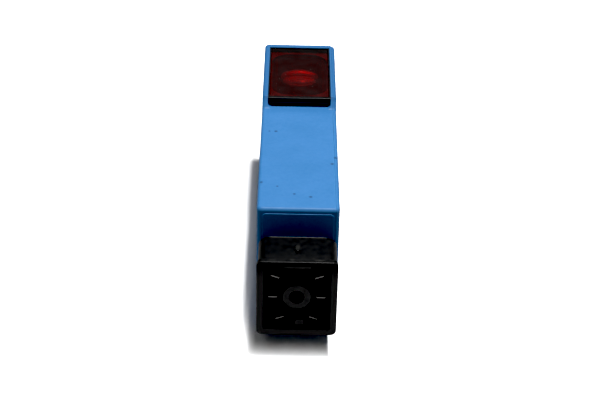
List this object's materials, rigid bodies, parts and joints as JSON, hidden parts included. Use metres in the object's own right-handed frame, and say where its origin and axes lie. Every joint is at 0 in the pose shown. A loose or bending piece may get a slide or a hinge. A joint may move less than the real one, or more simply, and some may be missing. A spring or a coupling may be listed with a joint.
{
  "type": "photoelectric sensor",
  "caption": "Slim block photoelectric sensor: blue housing, raised head with a red window over a lens, and a square plug with flat blades round a threaded boss.",
  "frame": {"origin": "middle of the box that holds the sensor, on its flat back", "axes": "+X across the width, to the right seen from the plug; +Y from the plug towards the lens end; +Z out of the lens face"},
  "size_m": [0.0176, 0.086, 0.0335],
  "materials": {
    "housing_blue": "satin moulded, fine grain",
    "frame_black": "satin black",
    "seal_rubber": "matt",
    "red_window": "polished tinted acrylic",
    "lens_clear": "polished",
    "filter_film": "polished film",
    "splitter_glass": "coated glass",
    "led_epoxy": "clear tinted epoxy",
    "diode_epoxy": "dark epoxy",
    "tinned_metal": "tinned",
    "shield_steel": "tin-plated sheet",
    "board_green": "solder resist over laminate",
    "screw_steel": "zinc plated",
    "flex_amber": "polyimide film",
    "header_black": "moulded",
    "chip_epoxy": "moulded epoxy",
    "capacitor_sleeve": "drawn can",
    "ferrite": "sintered ferrite",
    "copper_wire": "enamelled copper",
    "capacitor_ceramic": "ceramic",
    "resistor_black": "glazed",
    "control_case": "moulded",
    "control_white": "moulded",
    "lamp_white": "moulded",
    "guide_clear": "polished acrylic",
    "plug_black": "glass-filled, fine grain",
    "insert_black": "satin",
    "insert_brass": "machined",
    "contact_tin": "tin plated"
  },
  "bodies": {
    "sensor": {"beam_splitter": "splitter_glass", "board_flex": "flex_amber", "board_screws": "screw_steel", "chip_capacitors": "capacitor_ceramic", "chip_leads": "tinned_metal", "chip_resistors": "resistor_black", "choke": "ferrite", "choke_winding": "copper_wire", "contact_blade_1": "contact_tin", "contact_blade_2": "contact_tin", "contact_blade_3": "contact_tin", "contact_blade_4": "contact_tin", "contact_blade_5": "contact_tin", "contact_blade_6": "contact_tin", "contact_carrier": "insert_black", "control_board": "board_green", "control_chip": "chip_epoxy", "control_pins": "tinned_metal", "control_seals": "seal_rubber", "emitter_leads": "tinned_metal", "emitter_led": "led_epoxy", "filter_capacitor": "capacitor_sleeve", "front_lens": "lens_clear", "header_pins": "tinned_metal", "housing_shell": "housing_blue", "lens_retainer": "frame_black", "light_dark_switch": "control_case", "main_board": "board_green", "optics_board": "board_green", "optics_carrier": "frame_black", "optics_screws": "screw_steel", "output_transistors": "chip_epoxy", "pin_header": "header_black", "plug_body": "plug_black", "plug_collar": "plug_black", "plug_seal": "seal_rubber", "polarising_filter": "filter_film", "power_lamp": "lamp_white", "power_light_guide": "guide_clear", "receiver_leads": "tinned_metal", "receiver_photodiode": "diode_epoxy", "receiver_shield": "shield_steel", "sensitivity_potentiometer": "control_case", "side_cover": "housing_blue", "signal_lamp": "lamp_white", "signal_light_guide": "guide_clear", "suppressor_diodes": "chip_epoxy", "terminal_board": "board_green", "threaded_insert": "insert_brass", "window_frame": "frame_black", "window_pane": "red_window", "window_seal": "seal_rubber"},
    "sensitivity_adjuster": {"sensitivity_adjuster": "control_white"},
    "light_dark_selector": {"light_dark_selector": "control_white"}
  },
  "joints": [
    {"name": "sensitivity_turn", "type": "hinge", "parent": "sensor", "child": "sensitivity_adjuster", "pos_m": [0, 0.04295, 0.0195], "axis": [0, 1, 0], "range_deg": [-135, 135]},
    {"name": "light_dark_turn", "type": "hinge", "parent": "sensor", "child": "light_dark_selector", "pos_m": [0, 0.04295, 0.0125], "axis": [0, 1, 0], "range_deg": [0, 90]}
  ]
}
